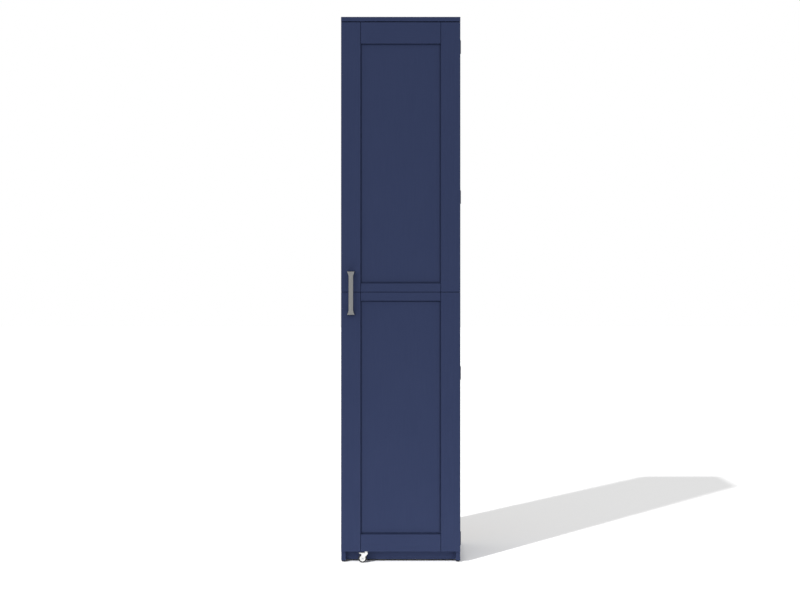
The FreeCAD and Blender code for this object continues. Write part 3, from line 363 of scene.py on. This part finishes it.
def door_pull():
    """Bar pull, cast in one: a flat bar whose ends flare to a fishtail and run back to the door as feet."""
    low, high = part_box("handle")
    x, z = (low.x + high.x) / 2, (low.z + high.z) / 2
    half_bar, bar_back, reach = 7.5 * MM, low.y + 7 * MM, high.z - z
    # Up from the middle: where the flare starts, where it ends, and where its foot starts at the door
    bar_from, bar_to, door_from = reach - 17 * MM, reach - 1.9 * MM, reach - 13 * MM
    # Share of the bar's width that stays flat between the wings
    flat_share = 0.75
    # Stretches of the flare: share of its length, half width and how far the wings lean back, in mm
    flare = ((0.36, 8.9, 0.4), (0.3, 10.6, 1.2), (0.22, 12.2, 2.2), (0.12, 13, 2.8))
    pull = block("door_pull", (x - half_bar, low.y, z - bar_from), (x + half_bar, bar_back, z + bar_from))
    bpy.ops.object.mode_set(mode="EDIT")
    for side in (-1, 1):
        bpy.ops.mesh.select_all(action="SELECT")
        bpy.ops.mesh.bisect(plane_co=(x + side * flat_share * half_bar, 0, 0), plane_no=(1, 0, 0))
    # A foot gets a little shorter on its way to the door and leans outwards, to end at the full reach
    tall = (reach - door_from) / (bar_to - bar_from)
    pivot = (door_from - tall * bar_from) / (1 - tall)
    for up in (1, -1):
        half = half_bar
        for share, wide, lean in flare:
            pick(pull, "FACE", lambda at, out: out.z * up > FACING and (at.z - z) * up > 0)
            draw_out((0, 0, up * share * (bar_to - bar_from)), (wide * MM / half, 1, 1), (x, 0, 0))
            half = wide * MM
            pick(pull, "VERT", lambda at, out: at.y < low.y + MM and abs(abs(at.x - x) - half) < 0.01 * MM
                 and (at.z - z) * up > bar_from + MM)
            bpy.ops.transform.translate(value=(0, lean * MM, 0))
        pick(pull, "FACE", lambda at, out: out.y > FACING and (at.z - z) * up > bar_from)
        draw_out((0, high.y - bar_back, 0), (1, 1, tall), (x, high.y, z + up * pivot))
    bpy.ops.object.mode_set(mode="OBJECT")
    hand_over(pull, 1.2 * MM, nickel, "door", "handle")


def caster_fork():
    """Moulded fork: a hood that runs out to a pointed tail, two arms down to the axle, a boss and a stem."""
    low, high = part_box("caster_fork")
    axle = sum(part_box("caster_wheel"), Vector()) / 2
    # Half sizes of the ears, boss, stem and wheel slot, and heights above the floor
    ear, boss, stem, slot = 3.8 * MM, 5 * MM, 3 * MM, 4.5 * MM
    hood_under, hood_top, boss_top = 29 * MM, 33 * MM, 36.7 * MM
    # Steps to the tail's tip: share of its length, and the width and height that are left
    tail = ((0.6, 0.75, 0.6), (0.4, 0.4, 0.5))
    # Steps round the end of an ear: share of its half size, and the length that is left
    ear_end = ((0.7, 0.75), (0.3, 0.5))
    # Share of its width that the hood keeps at its front end
    nose_share = 0.7
    arm_left = axle.x - ear
    fork = block("caster_fork_moulding", (arm_left, low.y, hood_under), (high.x, high.y, hood_top))
    bpy.ops.object.mode_set(mode="EDIT")
    for y in (axle.y - slot, axle.y + slot):
        bpy.ops.mesh.select_all(action="SELECT")
        bpy.ops.mesh.bisect(plane_co=(0, y, 0), plane_no=(0, 1, 0))
    pick(fork, "FACE", lambda at, out: out.x < -FACING)
    for share, wide, tall in tail:
        draw_out(((low.x - arm_left) * share, 0, 0), (1, wide, tall), (0, axle.y, hood_top))
    pick(fork, "FACE", lambda at, out: out.x > FACING)
    bpy.ops.transform.resize(value=(1, nose_share, 1), center_override=axle)
    pick(fork, "FACE", lambda at, out: out.z < -FACING and at.x > arm_left and abs(at.y - axle.y) > slot)
    draw_out((0, 0, axle.z - hood_under), (2 * ear / (high.x - arm_left), 1, 1), (arm_left, 0, 0))
    for share, long in ear_end:
        draw_out((0, 0, -share * ear), (long, 1, 1), axle)
    bpy.ops.object.mode_set(mode="OBJECT")
    middle = (high.x - boss, axle.y, (hood_under + MM + boss_top) / 2)
    turned = start(bpy.ops.mesh.primitive_cylinder_add, "boss", vertices=32, radius=boss,
                   depth=boss_top - hood_under - MM, location=middle)
    bpy.ops.object.mode_set(mode="EDIT")
    pick(turned, "FACE", lambda at, out: out.z > FACING)
    bpy.ops.mesh.inset(thickness=boss - stem)
    draw_out((0, 0, high.z - boss_top))
    bpy.ops.object.mode_set(mode="OBJECT")
    bpy.ops.object.select_all(action="DESELECT")
    fork.select_set(True)
    bpy.context.view_layer.objects.active = fork
    apply_modifier(fork, "BOOLEAN", operation="UNION", object=turned)
    bpy.data.objects.remove(turned)
    hand_over(fork, 0.5 * MM, nylon, "caster_yoke", "caster_fork")


door_pull()
caster_fork()


# Floor, light and camera

scene = bpy.context.scene
scene.view_settings.view_transform = "Standard"
# Strength of the room as a light; where it is seen it is plain white
SKY = 0.66
FLOOR_SIZE, FLOOR_DROP = 80, 0.5 * MM
# As a light, the floor paints a pool of light: white near the object, greyer further out, in metres
# from its middle
POOL_NEAR, POOL_FAR = 1.0, 0.33
POOL_START, POOL_END = 0.5, 1.9
# How much of the floor beside the object glows by itself where it is seen, a painted glow which keeps the
# shadow pale; it rises from the edge of the case to a little outside it, in half widths
SHADE_LIFT = 0.24
LIFT_FROM, LIFT_TO = 1.0, 1.15


def seen_itself(tree):
    """1 for the rays that show the stage as it is: from the camera, mirrored or through clear rubber."""
    path = add(tree, "LightPath")
    either = add(tree, "Math", {}, {0: path.outputs["Is Camera Ray"], 1: path.outputs["Is Glossy Ray"]},
                 operation="MAXIMUM")
    return add(tree, "Math", {}, {0: either.outputs[0], 1: path.outputs["Is Transmission Ray"]},
               operation="MAXIMUM").outputs[0]


world = bpy.data.worlds.new("white_studio")
world.use_nodes = True
scene.world = world
glow = add(world.node_tree, "MapRange", {"To Min": SKY, "To Max": 1.0},
           {"Value": seen_itself(world.node_tree)})
backdrop = world.node_tree.nodes["Background"]
backdrop.inputs["Color"].default_value = linear("#FFFFFF")
world.node_tree.links.new(glow.outputs[0], backdrop.inputs["Strength"])

bpy.ops.object.select_all(action="DESELECT")
bpy.ops.mesh.primitive_plane_add(size=FLOOR_SIZE, location=(0, 0, -FLOOR_DROP))
floor = bpy.context.object
floor.name = "floor"
bpy.ops.object.transform_apply(location=True)
paper = bpy.data.materials.new("white_floor")
paper.use_nodes = True
tree = paper.node_tree
tree.nodes.clear()
spot = add(tree, "TexCoord").outputs["Object"]
away = add(tree, "VectorMath", {}, {0: spot}, operation="LENGTH")
pool = add(tree, "MapRange",
           {"From Min": POOL_START, "From Max": POOL_END, "To Min": POOL_NEAR, "To Max": POOL_FAR},
           {"Value": away.outputs["Value"]}, interpolation_type="SMOOTHSTEP")
seen = seen_itself(tree)
white = add(tree, "Mix", {SECOND: linear("#FFFFFF")}, {0: seen, FIRST: pool.outputs[0]}, data_type="RGBA")
matt = add(tree, "BsdfDiffuse", {}, {"Color": white.outputs[MIXED]})
painted_glow = add(tree, "Emission")
# The painted glow stops under the case, where the floor keeps its full shade: places are in half widths
# of the case, 1 at its edge
left_front, right_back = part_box("left_side_panel")[0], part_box("right_side_panel")[1]
half, middle = (right_back - left_front) / 2, (right_back + left_front) / 2
under = add(tree, "Mapping", {"Scale": (1 / half.x, 1 / half.y, 1),
                              "Location": (-middle.x / half.x, -middle.y / half.y, 0)}, {"Vector": spot})
sizes = add(tree, "VectorMath", {}, {0: under.outputs[0]}, operation="ABSOLUTE")
sides = add(tree, "SeparateXYZ", {}, {0: sizes.outputs[0]})
outer = add(tree, "Math", {}, {0: sides.outputs["X"], 1: sides.outputs["Y"]}, operation="MAXIMUM")
lift = add(tree, "MapRange", {"From Min": LIFT_FROM, "From Max": LIFT_TO, "To Max": SHADE_LIFT},
           {"Value": outer.outputs[0]})
share = add(tree, "Math", {}, {0: seen, 1: lift.outputs[0]}, operation="MULTIPLY")
lifted = add(tree, "MixShader", {}, {0: share.outputs[0], 1: matt.outputs[0], 2: painted_glow.outputs[0]})
add(tree, "OutputMaterial", {}, {"Surface": lifted.outputs[0]})
dress(floor, paper)


def lamp(name, kind, place, target, energy, **settings):
    data = bpy.data.lights.new(name, kind)
    data.energy = energy
    for setting, value in settings.items():
        setattr(data, setting, value)
    holder = bpy.data.objects.new(name, data)
    holder.location = place
    holder.rotation_euler = (Vector(target) - Vector(place)).to_track_quat("-Z", "Y").to_euler()
    scene.collection.objects.link(holder)
    return holder


# A wide soft box beside the camera lights the object, and shiny pieces mirror only the white room;
# a small far lamp only draws the long shadow on the floor
SOFT_BOX_PLACE, SOFT_BOX_AIM, SOFT_BOX_WATTS = (-1.3, -4.6, 1.75), (0, 0, 0.9), 74
SHADOW_TURN, SHADOW_DROP = math.radians(36), math.radians(37.4)
SHADOW_PLACE, SHADOW_STRENGTH, SHADOW_BLUR = Vector((0, 0, 3)), 3.6, math.radians(1.5)
soft_box = lamp("soft_box", "AREA", SOFT_BOX_PLACE, SOFT_BOX_AIM, SOFT_BOX_WATTS,
                shape="RECTANGLE", size=5.2, size_y=3.0)
soft_box.visible_glossy = False
level = math.cos(SHADOW_DROP)
toward = Vector((math.sin(SHADOW_TURN) * level, math.cos(SHADOW_TURN) * level, -math.sin(SHADOW_DROP)))
shadow_lamp = lamp("shadow_lamp", "SUN", SHADOW_PLACE, SHADOW_PLACE + toward, SHADOW_STRENGTH,
                   angle=SHADOW_BLUR)
floor_only = bpy.data.collections.new("floor_only")
floor_only.objects.link(floor)
shadow_lamp.light_linking.receiver_collection = floor_only

# A level camera straight in front, at the photograph's height, distance and focal length in image pixels
FRAME_WIDTH = 800
FOCAL_PIXELS = 1403.2
CAMERA_PLACE = (-2.4 * MM, -4.88, 0.8805)
camera_data = bpy.data.cameras.new("camera")
camera = bpy.data.objects.new("camera", camera_data)
camera.location = CAMERA_PLACE
camera.rotation_euler = (math.radians(90), 0, 0)
camera_data.lens = FOCAL_PIXELS * camera_data.sensor_width / FRAME_WIDTH
scene.collection.objects.link(camera)
scene.camera = camera
